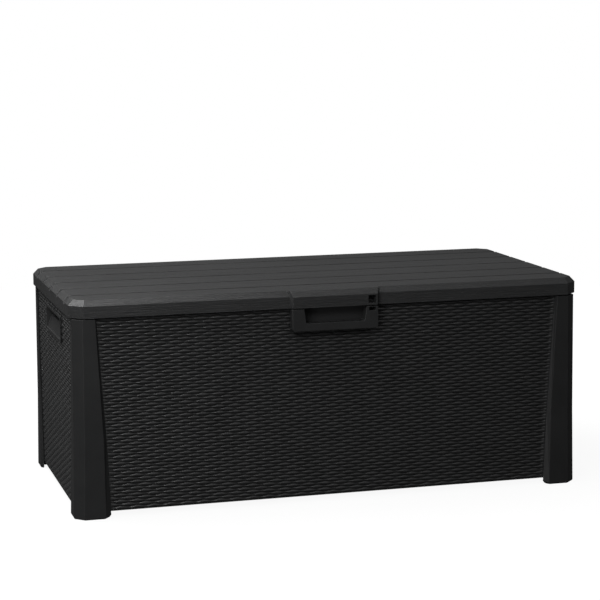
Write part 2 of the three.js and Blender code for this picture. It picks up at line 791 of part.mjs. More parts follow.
function upperBracketSolid() {
  const { x0, x1, y0, y1, thick } = UPPER_PLATE;
  const top = LINING_FIELD - GAP;
  const { y, z } = UPPER_PIVOT;
  const flat = box(x0, x1, y0, y1, top - thick, top);
  const tab = box(x1 - thick, x1, y - 14, y + 14, z - 10, top);
  const bore = cylinderX(STUD_R + GAP, x1 - thick - 1, x1 + 1, y, z);
  const holes = [-1, 1].map((end) =>
    cylinderZ(SCREW_HOLE_R, top - thick - 1, top + 1, UPPER_SCREW.x, y + end * UPPER_SCREW.offset),
  );
  return cut(flat.add(tab), bore, ...holes);
}

function studSolid(pivot, seat) {
  const shaft = cylinderX(STUD_R, STRUT_X - 6, seat, pivot.y, pivot.z);
  const head = cylinderX(STUD_R + 2, STRUT_X - 9, STRUT_X - 5.5, pivot.y, pivot.z);
  return shaft.add(head);
}

// ---------- screws ----------
// Made with its head on top at the origin, shank down -Z.
function screwSolid(shankLength) {
  const head = turned(
    [
      [0, -shankLength],
      [SCREW_SHANK_R, -shankLength],
      [SCREW_SHANK_R, 0],
      [SCREW_HEAD_R, 0],
      [SCREW_HEAD_R * 0.86, 1.6],
      [0, 2.4],
    ],
    12,
  );
  const slot = new THREE.BoxGeometry(0.9, 5.4, 1.6).translate(0, 0, 2.2);
  const cross = new THREE.BoxGeometry(5.4, 0.9, 1.6).translate(0, 0, 2.2);
  return cut(toSolid(head), toSolid(slot), toSolid(cross));
}

// direction is the way the head faces.
function addScrew(name, shankLength, position, direction) {
  const mesh = addPiece(name, screwSolid(shankLength), look.steel);
  mesh.quaternion.setFromUnitVectors(new THREE.Vector3(0, 0, 1), direction);
  mesh.position.copy(position);
}

// ---------- assembly ----------
addPiece('base_floor', floorSolid(), look.inside);
addPiece('front_panel', frontWall(), look.weave);
addPiece('back_panel', backWall(), look.weave);
addPiece('front_handle', handleSolid(), look.frame);
addPiece('lid_shell', lidSolid(), look.lid);
addPiece('lid_inner_panel', liningSolid(), look.inside);
addPiece('lid_brace_front', braceSolid(-200), look.steel);
addPiece('lid_brace_rear', braceSolid(200), look.steel);

for (const [depthName, signY] of [['front', -1], ['back', 1]]) {
  for (const [sideName, signX] of [['left', -1], ['right', 1]]) {
    addPiece(`corner_post_${depthName}_${sideName}`, mirrored(postSolid(), signX, signY), look.frame);
  }
}

const front = new THREE.Vector3(0, -1, 0);
const back = front.clone().negate();
const down = new THREE.Vector3(0, 0, -1);

for (const [name, x] of HINGE_CENTRES) {
  addPiece(`hinge_${name}_body_leaf`, bodyLeafSolid(x), look.frame);
  addPiece(`hinge_${name}_lid_leaf`, lidLeafSolid(x), look.frame);
  addPiece(`hinge_${name}_pin`, hingePinSolid(x), look.steel);
  for (const [number, side] of [[1, -1], [2, 1]]) {
    const screwX = x + side * HINGE_SCREW_OFFSET;
    const body = new THREE.Vector3(screwX, BODY_LEAF.y1 + GAP, BODY_LEAF.screwZ);
    const lid = new THREE.Vector3(screwX, LID_LEAF.y1 + GAP, LID_LEAF.screwZ);
    addScrew(`hinge_${name}_body_screw_${number}`, 8, body, back);
    addScrew(`hinge_${name}_lid_screw_${number}`, 7, lid, back);
  }
}

for (const [name, sign] of [['left', -1], ['right', 1]]) {
  const place = (solid) => mirrored(solid, sign, 1);
  addPiece(`${name}_side_panel`, place(sideWall()), look.weave);
  addPiece(`${name}_side_handle`, place(scoopSolid()), look.frame);
  addPiece(`${name}_strut_cylinder`, place(strutCylinderSolid(STRUT_X)), look.strutPaint);
  addPiece(`${name}_strut_rod`, place(strutRodSolid(STRUT_X)), look.steel);
  addPiece(`${name}_strut_lower_bracket`, place(lowerBracketSolid()), look.steel);
  addPiece(`${name}_strut_upper_bracket`, place(upperBracketSolid()), look.steel);
  addPiece(`${name}_strut_lower_stud`, place(studSolid(LOWER_PIVOT, LOWER_PLATE.x1 - 1)), look.steel);
  addPiece(`${name}_strut_upper_stud`, place(studSolid(UPPER_PIVOT, UPPER_PLATE.x1 + 1)), look.steel);

  const inward = new THREE.Vector3(-sign, 0, 0);
  const plateFace = LOWER_PLATE.x1 - LOWER_PLATE.thick - GAP;
  const lidPlateFace = LINING_FIELD - UPPER_PLATE.thick - 2 * GAP;
  for (const [number, end] of [[1, -1], [2, 1]]) {
    const lowZ = LOWER_PIVOT.z + end * BRACKET_SCREW_Z;
    const highY = UPPER_PIVOT.y + end * UPPER_SCREW.offset;
    const low = new THREE.Vector3(sign * plateFace, LOWER_PIVOT.y, lowZ);
    const high = new THREE.Vector3(sign * UPPER_SCREW.x, highY, lidPlateFace);
    addScrew(`${name}_lower_bracket_screw_${number}`, 8, low, inward);
    addScrew(`${name}_upper_bracket_screw_${number}`, 6, high, down);
  }
}

export default group;
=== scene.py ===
"""Looks of the deck storage box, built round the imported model.

Metres, +X along the box, -Y out of the front, +Z up. Every piece replaces one CAD node, and is made
from its mesh, its box or its joints. Sizes written in millimetres are multiplied by MM.
"""

import json
import math

import bmesh
import bpy
import numpy as np
from mathutils import Matrix, Vector

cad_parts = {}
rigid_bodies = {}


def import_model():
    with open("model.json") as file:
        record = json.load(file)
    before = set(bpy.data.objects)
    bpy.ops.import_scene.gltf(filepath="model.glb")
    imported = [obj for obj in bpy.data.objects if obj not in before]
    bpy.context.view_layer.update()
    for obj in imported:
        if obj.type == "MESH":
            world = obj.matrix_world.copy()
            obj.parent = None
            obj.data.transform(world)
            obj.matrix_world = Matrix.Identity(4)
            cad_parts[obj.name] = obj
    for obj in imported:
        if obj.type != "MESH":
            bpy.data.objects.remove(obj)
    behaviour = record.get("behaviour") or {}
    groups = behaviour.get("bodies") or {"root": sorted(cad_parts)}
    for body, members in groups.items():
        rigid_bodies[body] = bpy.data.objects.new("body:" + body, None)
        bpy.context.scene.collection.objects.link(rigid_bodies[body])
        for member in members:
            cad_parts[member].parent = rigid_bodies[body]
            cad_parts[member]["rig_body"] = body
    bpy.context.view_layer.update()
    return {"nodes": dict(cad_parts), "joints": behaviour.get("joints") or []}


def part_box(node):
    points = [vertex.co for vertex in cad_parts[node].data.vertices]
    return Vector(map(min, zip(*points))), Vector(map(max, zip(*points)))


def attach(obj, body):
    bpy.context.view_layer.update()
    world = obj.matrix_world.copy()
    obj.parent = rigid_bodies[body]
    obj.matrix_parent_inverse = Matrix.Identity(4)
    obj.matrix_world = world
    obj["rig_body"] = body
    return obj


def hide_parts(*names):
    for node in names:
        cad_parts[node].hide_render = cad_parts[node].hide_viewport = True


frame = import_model()
nodes = frame["nodes"]
MM = 0.001
GAP = 0.3 * MM  # between pieces that fit together


# ---------------------------------------------------------------- camera
SENSOR = 36
CAMERA_PLACE = Vector((-1.509, -5.383, 1.365))
CAMERA_YAW = math.radians(15.71)  # from +Y towards +X
CAMERA_DROP = math.radians(8.67)  # below the horizon
CAMERA_ROLL = math.radians(-0.41)
CAMERA_LENS = 116.53


def make_camera():
    """The photo's viewing angle, solved from the box's edges."""
    forward = Vector(
        (
            math.sin(CAMERA_YAW) * math.cos(CAMERA_DROP),
            math.cos(CAMERA_YAW) * math.cos(CAMERA_DROP),
            -math.sin(CAMERA_DROP),
        )
    )
    right = Vector((math.cos(CAMERA_YAW), -math.sin(CAMERA_YAW), 0))
    up = right.cross(forward)
    rolled_right = right * math.cos(CAMERA_ROLL) + up * math.sin(CAMERA_ROLL)
    rolled_up = up * math.cos(CAMERA_ROLL) - right * math.sin(CAMERA_ROLL)
    camera = bpy.data.objects.new("camera", bpy.data.cameras.new("camera"))
    bpy.context.scene.collection.objects.link(camera)
    turn = Matrix((rolled_right, rolled_up, -forward)).transposed().to_4x4()
    camera.matrix_world = Matrix.Translation(CAMERA_PLACE) @ turn
    camera.data.sensor_width = SENSOR
    camera.data.lens = CAMERA_LENS
    camera.data.clip_start = 0.1
    camera.data.clip_end = 200
    bpy.context.scene.camera = camera


make_camera()


# ---------------------------------------------------------------- materials
# Sizes of the textures and depths of their reliefs are in metres.
MIX_A, MIX_B, MIX_RESULT = 6, 7, 2  # the colour sockets of a Mix node
NOISE_LOW, NOISE_HIGH = 0.3, 0.7  # noise is nearly always between these


class Paint:
    """A material with a Principled shader, and short calls for the textures that drive it."""

    def __init__(self, name):
        self.material = bpy.data.materials.new(name)
        self.material.use_nodes = True
        self.tree = self.material.node_tree
        self.tree.nodes.clear()
        out = self.tree.nodes.new("ShaderNodeOutputMaterial")
        self.shader = self.tree.nodes.new("ShaderNodeBsdfPrincipled")
        self.join(self.shader.outputs["BSDF"], out.inputs["Surface"])
        self.place = self.tree.nodes.new("ShaderNodeTexCoord").outputs["Object"]
        self.height = None

    def join(self, a, b):
        self.tree.links.new(a, b)

    def noise(self, size, stretch=(1, 1, 1), detail=3.0, rough=0.55, warp=0.0):
        """Noise whose blobs are about size metres, longer by stretch along each axis."""
        mapping = self.tree.nodes.new("ShaderNodeMapping")
        self.join(self.place, mapping.inputs["Vector"])
        mapping.inputs["Scale"].default_value = [1 / s for s in stretch]
        node = self.tree.nodes.new("ShaderNodeTexNoise")
        self.join(mapping.outputs["Vector"], node.inputs["Vector"])
        node.inputs["Scale"].default_value = 1 / size
        node.inputs["Detail"].default_value = detail
        node.inputs["Roughness"].default_value = rough
        node.inputs["Distortion"].default_value = warp
        return node.outputs["Fac"]

    def span(self, value, low, high, to_low, to_high, smooth=False):
        node = self.tree.nodes.new("ShaderNodeMapRange")
        node.interpolation_type = "SMOOTHSTEP" if smooth else "LINEAR"
        self.join(value, node.inputs["Value"])
        for label, number in (
            ("From Min", low),
            ("From Max", high),
            ("To Min", to_low),
            ("To Max", to_high),
        ):
            node.inputs[label].default_value = number
        return node.outputs["Result"]

    def spread(self, noise, low, high):
        """Noise brought to the range from low to high."""
        return self.span(noise, NOISE_LOW, NOISE_HIGH, low, high)

    def total(self, a, b):
        node = self.tree.nodes.new("ShaderNodeMath")
        node.operation = "ADD"
        self.join(a, node.inputs[0])
        self.join(b, node.inputs[1])
        return node.outputs["Value"]

    def blend(self, share, dark, light):
        node = self.tree.nodes.new("ShaderNodeMix")
        node.data_type = "RGBA"
        self.join(share, node.inputs["Factor"])
        node.inputs[MIX_A].default_value = (*dark, 1)
        node.inputs[MIX_B].default_value = (*light, 1)
        return node.outputs[MIX_RESULT]

    def colour(self, value):
        if isinstance(value, tuple):
            self.fixed("Base Color", (*value, 1))
        else:
            self.join(value, self.shader.inputs["Base Color"])

    def fixed(self, label, value):
        """A number that is the same all over the surface."""
        self.shader.inputs[label].default_value = value

    def roughness(self, value):
        self.join(value, self.shader.inputs["Roughness"])

    def bump(self, value, depth):
        """Adds a relief of depth metres on top of the one before it."""
        node = self.tree.nodes.new("ShaderNodeBump")
        node.inputs["Strength"].default_value = 1
        node.inputs["Distance"].default_value = depth
        self.join(value, node.inputs["Height"])
        if self.height is not None:
            self.join(self.height, node.inputs["Normal"])
        self.height = node.outputs["Normal"]
        self.join(self.height, self.shader.inputs["Normal"])


def grey(level, blue=1.03):
    """A grey with this much more blue than red."""
    return (level, level * (1 + blue) / 2, level * blue)


MOTTLE = 0.16
SPECKLE = 0.006


def dusty(paint, base, dust, size=MOTTLE):
    """Charcoal resin: slow mottling between two greys, with a finer speckle."""
    slow = paint.noise(size, detail=4)
    fine = paint.noise(SPECKLE, detail=2)
    share = paint.total(paint.spread(slow, 0, 0.75), paint.spread(fine, 0, 0.25))
    return paint.blend(share, grey(base), grey(dust))


def frame_plastic():
    """Posts, grips and hinges: a fine grain over slight waviness."""
    paint = Paint("frame_plastic")
    paint.colour(dusty(paint, 0.0125, 0.0165))
    paint.roughness(paint.spread(paint.noise(0.05, detail=4), 0.4, 0.52))
    paint.bump(paint.noise(0.0011, detail=2, rough=0.6), 0.00006)
    paint.bump(paint.noise(0.05, detail=1), 0.0004)
    paint.fixed("Specular IOR Level", 0.24)
    return paint.material


def woven_plastic():
    """The strands: glossier, with fibres that run along them."""
    paint = Paint("woven_plastic")
    paint.colour(dusty(paint, 0.010, 0.016, 0.05))
    paint.roughness(paint.spread(paint.noise(0.03, detail=4), 0.32, 0.44))
    paint.bump(paint.noise(0.0012, (9, 9, 1), detail=2), 0.0001)
    paint.bump(paint.noise(0.0008, detail=2), 0.00004)
    paint.fixed("Specular IOR Level", 0.5)
    return paint.material


def lid_plastic():
    """Planks: wood grain along X with short pores."""
    paint = Paint("lid_plastic")
    grain = paint.noise(0.0042, (26, 1, 1), detail=5, rough=0.6, warp=0.4)
    pores = paint.noise(0.0016, (14, 1, 1), detail=2)
    slow = paint.noise(0.22, (2.2, 1, 1), detail=3)
    share = paint.total(paint.spread(slow, 0, 0.6), paint.spread(grain, 0, 0.4))
    paint.colour(paint.blend(share, grey(0.015), grey(0.022)))
    paint.roughness(paint.spread(paint.noise(0.02, (6, 1, 1), detail=4), 0.33, 0.46))
    paint.bump(paint.span(grain, 0.32, 0.68, 0, 1, True), 0.0004)
    paint.bump(paint.span(pores, 0.45, 0.62, 0, 1, True), 0.00014)
    paint.fixed("Specular IOR Level", 0.32)
    return paint.material


def inside_plastic():
    """Duller resin of the lining and the floor."""
    paint = Paint("inside_plastic")
    paint.colour(dusty(paint, 0.014, 0.019))
    paint.roughness(paint.spread(paint.noise(0.06, detail=4), 0.5, 0.62))
    paint.bump(paint.noise(0.0016, detail=2), 0.00008)
    paint.fixed("Specular IOR Level", 0.3)
    return paint.material


def strut_paint():
    """Glossy black paint of the cylinders."""
    paint = Paint("strut_paint")
    dark, light = (0.008, 0.008, 0.0085), (0.013, 0.013, 0.0135)
    paint.colour(paint.blend(paint.noise(0.03, detail=3), dark, light))
    paint.roughness(paint.spread(paint.noise(0.012, detail=3), 0.2, 0.34))
    paint.bump(paint.noise(0.0022, detail=2), 0.00004)
    return paint.material


def bright_rod():
    """Polished steel of the rods."""
    paint = Paint("strut_rod")
    dark, light = (0.5, 0.5, 0.51), (0.6, 0.6, 0.6)
    paint.colour(paint.blend(paint.noise(0.02, detail=3), dark, light))
    paint.roughness(paint.spread(paint.noise(0.004, detail=3), 0.1, 0.2))
    paint.bump(paint.noise(0.0006, (8, 1, 1), detail=2), 0.00001)
    paint.fixed("Metallic", 1)
    return paint.material


def zinc():
    """Zinc-plated steel, with its spangle."""
    paint = Paint("zinc_steel")
    spangle = paint.span(paint.noise(0.004, detail=3, warp=0.6), 0.35, 0.65, 0, 1)
    dark, light = (0.36, 0.365, 0.37), (0.52, 0.52, 0.515)
    paint.colour(paint.blend(spangle, dark, light))
    paint.roughness(paint.spread(paint.noise(0.006, detail=4), 0.3, 0.48))
    paint.bump(paint.noise(0.0009, detail=2), 0.00003)
    paint.fixed("Metallic", 1)
    return paint.material


look = {
    "woven_plastic": woven_plastic(),
    "frame_plastic": frame_plastic(),
    "lid_plastic": lid_plastic(),
    "inside_plastic": inside_plastic(),
    "strut_paint": strut_paint(),
    "strut_rod": bright_rod(),
    "zinc_steel": zinc(),
}


# ---------------------------------------------------------------- mesh helpers
def body_of_node(name):
    return nodes[name]["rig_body"]


def add_piece(name, mesh, body, slot, replaced):
    """A piece of the look that moves with this body, instead of the replaced CAD nodes."""
    piece = bpy.data.objects.new(name, mesh)
    bpy.context.scene.collection.objects.link(piece)
    mesh.materials.clear()
    mesh.materials.append(look[slot])
    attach(piece, body)
    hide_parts(*replaced)


def mesh_from(bm, name):
    mesh = bpy.data.meshes.new(name)
    bm.to_mesh(mesh)
    bm.free()
    return mesh


def smooth(mesh, degrees, flat_over=None):
    """Smooth shading with sharp edges past this angle, and flat shading of large faces."""
    bm = bmesh.new()
    bm.from_mesh(mesh)
    limit = math.radians(degrees)
    for face in bm.faces:
        face.smooth = flat_over is None or face.calc_area() < flat_over
    for edge in bm.edges:
        edge.smooth = edge.is_manifold and edge.calc_face_angle(0.0) < limit
    bm.to_mesh(mesh)
    bm.free()
    return mesh


def with_modifier(mesh, kind, settings):
    """The mesh after a modifier of this kind with these settings."""
    carrier = bpy.data.objects.new("carrier", mesh)
    bpy.context.scene.collection.objects.link(carrier)
    modifier = carrier.modifiers.new(kind, kind)
    for key, value in settings.items():
        setattr(modifier, key, value)
    bpy.context.view_layer.update()
    graph = bpy.context.evaluated_depsgraph_get()
    made = bpy.data.meshes.new_from_object(carrier.evaluated_get(graph))
    bpy.data.objects.remove(carrier)
    return made


def cad_faces(name):
    """The CAD node's solid with its flat faces whole again."""
    bm = bmesh.new()
    bm.from_mesh(nodes[name].data)
    bmesh.ops.remove_doubles(bm, verts=bm.verts, dist=1e-6)
    bmesh.ops.dissolve_limit(
        bm,
        angle_limit=math.radians(0.5),
        verts=bm.verts,
        edges=bm.edges,
        use_dissolve_boundaries=False,
    )
    return bm


ROUNDED_OVER = 28  # degrees: edges sharper than this get rounded
SHARP_OVER = 35  # degrees: edges sharper than this stay sharp in the shading
FLAT_FACE = 1e-4  # square metres: larger faces are shaded flat


def refine(name, slot, rounding, segments=3, flat_over=FLAT_FACE):
    """The CAD node with its edges rounded, as moulded or rolled material has them."""
    mesh = mesh_from(cad_faces(name), name + "_look")
    settings = {
        "width": rounding * MM,
        "segments": segments,
        "limit_method": "ANGLE",
        "angle_limit": math.radians(ROUNDED_OVER),
        "use_clamp_overlap": True,
        "miter_outer": "MITER_SHARP",
    }
    mesh = smooth(with_modifier(mesh, "BEVEL", settings), SHARP_OVER, flat_over)
    add_piece(name + "_look", mesh, body_of_node(name), slot, (name,))


# ---------------------------------------------------------------- woven relief
WEAVE_PERIOD = 46 * MM  # along a strand, from one crossing to the next on the same side
WEAVE_PITCH = 8.6 * MM  # from strand to strand
WEAVE_SWING = 1.8 * MM  # how far the line between two strands wanders up and down
WEAVE_DEPTH = 5.2 * MM  # from the crests to the lines between strands
WEAVE_DIVE = 2.6 * MM  # how far a strand sinks where its neighbours cross over it
WEAVE_FLAT = 4  # above 1, the crests are longer than the dips
WEAVE_STEP = 4.6 * MM  # between the mesh's columns
STRAND_SECTION = (-1, -0.72, -0.3, 0.3, 0.72)  # points across a strand, whose edges are -1 and 1
HEM = 2.5 * MM  # plain strip at the wall's foot
TOP_HEM = 2 * MM  # plain strip under the rim
EDGE_FADE = 9 * MM  # over which the relief ends at a post
EDGE_SINK = 0.8 * MM  # of the plain face beside a post
SIDE_DIVE = 3.2 * MM  # the short walls' strands sink deeper, on a plain cosine
SIDE_FLAT = 1.0
SHEET_THICK = 6 * MM
RIM_BOTTOM = 546 * MM  # the weave ends here, and the CAD wall's own rim begins
RIM_OVERLAP = 0.5 * MM
RIM_ROUNDING = 1.2 * MM
WEAVE_SHARP = 50  # degrees


def woven_sheet(length, low, high, post_edge, dive, flat):
    """A wall of this length, from low to high, with woven strands on its outer side, ending at
    the posts, whose edges stand at post_edge(height) from the middle. Returns points (along,
    outward, up), the crests at 0 outward, and the faces of a closed solid."""
    columns = int(round(length / WEAVE_STEP))
    along = np.linspace(-length / 2, length / 2, columns + 1)
    bottom, top = low + HEM, high - TOP_HEM
    rows = int((top - bottom) / WEAVE_PITCH)
    pitch = (top - bottom) / rows
    heights = [low * np.ones_like(along)]
    depths = [-WEAVE_DEPTH * 0.5 * np.ones_like(along)]

    def swing(row):
        return np.cos(2 * math.pi * along / WEAVE_PERIOD + math.pi * row)

    def line(row):
        free = 0 if row in (0, rows) else 1
        return bottom + row * pitch + free * WEAVE_SWING * swing(row - 1)

    for row in range(rows):
        lower, upper = line(row), line(row + 1)
        crest = -dive * ((1 - swing(row)) / 2) ** flat
        for t in STRAND_SECTION:
            rise = 1 - t * t
            heights.append(lower + (upper - lower) * (t + 1) / 2)
            depths.append(-WEAVE_DEPTH + (WEAVE_DEPTH + crest) * rise)
    for height in (top, high):
        heights.append(height * np.ones_like(along))
        depths.append(-WEAVE_DEPTH * np.ones_like(along))
    up, out = np.array(heights), np.array(depths)
    free = np.clip((post_edge(up) - np.abs(along)) / EDGE_FADE, 0, 1)
    out[1:-2] = out[1:-2] * free[1:-2] - EDGE_SINK * (1 - free[1:-2])
    count, across = up.shape
    points = [np.stack([np.broadcast_to(along, up.shape), out, up], -1).reshape(-1, 3)]
    back = np.stack([along, -SHEET_THICK * np.ones_like(along), low * np.ones_like(along)], -1)
    points += [back, back + np.array([0, 0, high - low])]
    index = np.arange(count * across).reshape(count, across)
    faces = [
        (int(index[i, j]), int(index[i, j + 1]), int(index[i + 1, j + 1]), int(index[i + 1, j]))
        for i in range(count - 1)
        for j in range(across - 1)
    ]
    foot, head = count * across, count * across + across
    for j in range(across - 1):
        faces.append((foot + j, foot + j + 1, int(index[0, j + 1]), int(index[0, j])))
        faces.append((int(index[-1, j]), int(index[-1, j + 1]), head + j + 1, head + j))
        faces.append((foot + j + 1, foot + j, head + j, head + j + 1))
    last = across - 1
    faces.append(tuple([foot] + [int(k) for k in index[:, 0]] + [head]))
    faces.append(tuple([head + last] + [int(k) for k in index[::-1, last]] + [foot + last]))
    return np.concatenate(points), faces


def solid_mesh(points, faces, name):
    mesh = bpy.data.meshes.new(name)
    mesh.from_pydata([tuple(p) for p in points], [], faces)
    bm = bmesh.new()
    bm.from_mesh(mesh)
    bmesh.ops.recalc_face_normals(bm, faces=bm.faces)
    bm.to_mesh(mesh)
    bm.free()
    return mesh


def block(low, high):
    bm = bmesh.new()
    bmesh.ops.create_cube(bm, size=1)
    centre = (Vector(low) + Vector(high)) / 2
    size = Vector(high) - Vector(low)
    for v in bm.verts:
        v.co = centre + Vector([a * b for a, b in zip(v.co, size)])
    return mesh_from(bm, "block")


def combined(mesh, other, operation):
    """The first solid after DIFFERENCE or UNION with the other one."""
    tool = bpy.data.objects.new("tool", other)
    bpy.context.scene.collection.objects.link(tool)
    settings = {"operation": operation, "object": tool, "solver": "MANIFOLD"}
    made = with_modifier(mesh, "BOOLEAN", settings)
    bpy.data.objects.remove(tool)
    return made


def joined(*meshes):
    bm = bmesh.new()
    for mesh in meshes:
        bm.from_mesh(mesh)
    return mesh_from(bm, "joined")


def rim_of(name):
    """The part of a CAD wall above the weave, closed at its foot, with rounded edges."""
    bm = cad_faces(name)
    bmesh.ops.bisect_plane(
        bm,
        geom=bm.verts[:] + bm.edges[:] + bm.faces[:],
        plane_co=(0, 0, RIM_BOTTOM),
        plane_no=(0, 0, 1),
        clear_inner=True,
    )
    bmesh.ops.holes_fill(bm, edges=[e for e in bm.edges if e.is_boundary])
    mesh = mesh_from(bm, "rim")
    settings = {"width": RIM_ROUNDING, "segments": 2, "limit_method": "ANGLE"}
    return with_modifier(mesh, "BEVEL", settings)


def post_edge_at(face, axis):
    """How far from the middle the front left post's edge stands on a wall's face, by height."""
    found = {}
    for v in nodes["corner_post_front_left"].data.vertices:
        if abs(abs(v.co[axis]) - face - GAP) < 0.05 * MM:
            height = round(v.co.z, 4)
            found[height] = min(found.get(height, math.inf), abs(v.co[1 - axis]))
    levels = sorted(found)
    return lambda height: np.interp(height, levels, [found[level] for level in levels])


def woven_wall(name, dive=WEAVE_DIVE, flat=WEAVE_FLAT, hole=None):
    """Replaces a CAD wall by one with the woven relief: crests at the CAD wall's outer face."""
    low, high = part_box(name)
    middle = (low + high) / 2
    wall = [v.co for v in nodes[name].data.vertices if v.co.z < RIM_BOTTOM - MM]
    along_x = high.x - low.x > high.y - low.y
    length = 2 * max(v.x if along_x else v.y for v in wall)
    if along_x:
        outward = Vector((0, math.copysign(1, middle.y), 0))
    else:
        outward = Vector((math.copysign(1, middle.x), 0, 0))
    along = Vector((0, 0, 1)).cross(outward)
    face = (high if outward.x + outward.y > 0 else low).dot(outward) * outward
    post_edge = post_edge_at(face.length, 1 if along_x else 0)
    points, faces = woven_sheet(length, low.z, RIM_BOTTOM + RIM_OVERLAP, post_edge, dive, flat)
    spots = [face + along * p[0] + outward * p[1] + Vector((0, 0, p[2])) for p in points]
    mesh = solid_mesh(spots, faces, name + "_weave")
    if hole:
        mesh = combined(mesh, block(*hole), "DIFFERENCE")
    mesh = smooth(joined(mesh, rim_of(name)), WEAVE_SHARP)
    add_piece(name + "_weave", mesh, body_of_node(name), "woven_plastic", (name,))


# Openings in the walls: behind the front grip, up through the rim, and for the hand recesses.
GRIP_HALF = 96.3 * MM
GRIP_FOOT = 499.7 * MM
GRIP_HEAD = 560 * MM
GRIP_CUT = (-360 * MM, -330 * MM)
RECESS_HALF = 125.3 * MM
RECESS_FOOT = 448.7 * MM
RECESS_HEAD = 515.3 * MM
RECESS_CUT = (690 * MM, 730 * MM)

grip = ((-GRIP_HALF, GRIP_CUT[0], GRIP_FOOT), (GRIP_HALF, GRIP_CUT[1], GRIP_HEAD))
woven_wall("front_panel", hole=grip)
woven_wall("back_panel")
for side, sign in (("left", -1), ("right", 1)):
    inner, outer = sorted(sign * x for x in RECESS_CUT)
    recess = ((inner, -RECESS_HALF, RECESS_FOOT), (outer, RECESS_HALF, RECESS_HEAD))
    woven_wall(f"{side}_side_panel", SIDE_DIVE, SIDE_FLAT, hole=recess)

# ---------------------------------------------------------------- moulded frame
# The number is the rounding of the edges in millimetres.
for end in ("front", "back"):
    for side in ("left", "right"):
        refine(f"corner_post_{end}_{side}", "frame_plastic", 0.8)
refine("front_handle", "frame_plastic", 2.2)
refine("left_side_handle", "frame_plastic", 1.0)
refine("right_side_handle", "frame_plastic", 1.0)
refine("lid_shell", "lid_plastic", 1.0)
refine("lid_inner_panel", "inside_plastic", 0.8)
refine("base_floor", "inside_plastic", 0.8)

# ---------------------------------------------------------------- gas struts
# Radii and heights in millimetres. Heights run up the strut from the middle of its lower stud, and
# those of a ring from the ring's own middle.
EYE_RADIUS, EYE_BORE, EYE_HALF = 7.5, 4.4, 5
EYE_EDGE, BORE_EDGE = 0.8, 0.6  # bevels of the ring
EYE_TOP = 6.5  # from a stud's middle to the end of the tube or the rod, inside the ring
TUBE_RADIUS, TUBE_BORE, TUBE_NECK, TUBE_MOUTH = 9, 5.6, 4.8, 4.5
TUBE_TOP = 245
GROOVE_RADIUS = 8.2  # the rolled groove near the tube's mouth
ROD_RADIUS, ROD_SLEEVE = 4, 4.9
ROD_LENGTH = 240  # from the upper stud to the rod's inner end
SLEEVE_START = 252
TURNED_SIDES = 48
STRUT_SHARP = 40  # degrees


def turned(profile):
    """A closed solid of revolution about Z, from (radius, height) points in millimetres."""
    bm = bmesh.new()
    rings = []
    for radius, height in profile:
        if radius == 0:
            rings.append([bm.verts.new((0, 0, height * MM))])
            continue
        ring = []
        for i in range(TURNED_SIDES):
            turn = 2 * math.pi * i / TURNED_SIDES
            spot = (radius * MM * math.cos(turn), radius * MM * math.sin(turn), height * MM)
            ring.append(bm.verts.new(spot))
        rings.append(ring)
    for low_ring, high_ring in zip(rings, rings[1:]):
        for i in range(TURNED_SIDES):
            j = (i + 1) % TURNED_SIDES
            corners = [low_ring[i % len(low_ring)], low_ring[j % len(low_ring)]]
            corners += [high_ring[j % len(high_ring)], high_ring[i % len(high_ring)]]
            bm.faces.new(list(dict.fromkeys(corners)))
    bmesh.ops.recalc_face_normals(bm, faces=bm.faces)
    return mesh_from(bm, "turned")


def placed(mesh, matrix):
    mesh.transform(matrix)
    return mesh


def eye(centre):
    """The ring at a strut's end, round the stud along X."""
    ring = [
        (EYE_BORE, -EYE_HALF + BORE_EDGE),
        (EYE_BORE + BORE_EDGE, -EYE_HALF),
        (EYE_RADIUS - EYE_EDGE, -EYE_HALF),
        (EYE_RADIUS, -EYE_HALF + EYE_EDGE),
        (EYE_RADIUS, EYE_HALF - EYE_EDGE),
        (EYE_RADIUS - EYE_EDGE, EYE_HALF),
        (EYE_BORE + BORE_EDGE, EYE_HALF),
        (EYE_BORE, EYE_HALF - BORE_EDGE),
        (EYE_BORE, -EYE_HALF + BORE_EDGE),
    ]
    mesh = turned(ring)
    bm = bmesh.new()
    bm.from_mesh(mesh)
    bmesh.ops.remove_doubles(bm, verts=bm.verts, dist=1e-7)
    bmesh.ops.recalc_face_normals(bm, faces=bm.faces)
    mesh = mesh_from(bm, "eye")
    return placed(mesh, Matrix.Translation(centre) @ Matrix.Rotation(math.pi / 2, 4, "Y"))


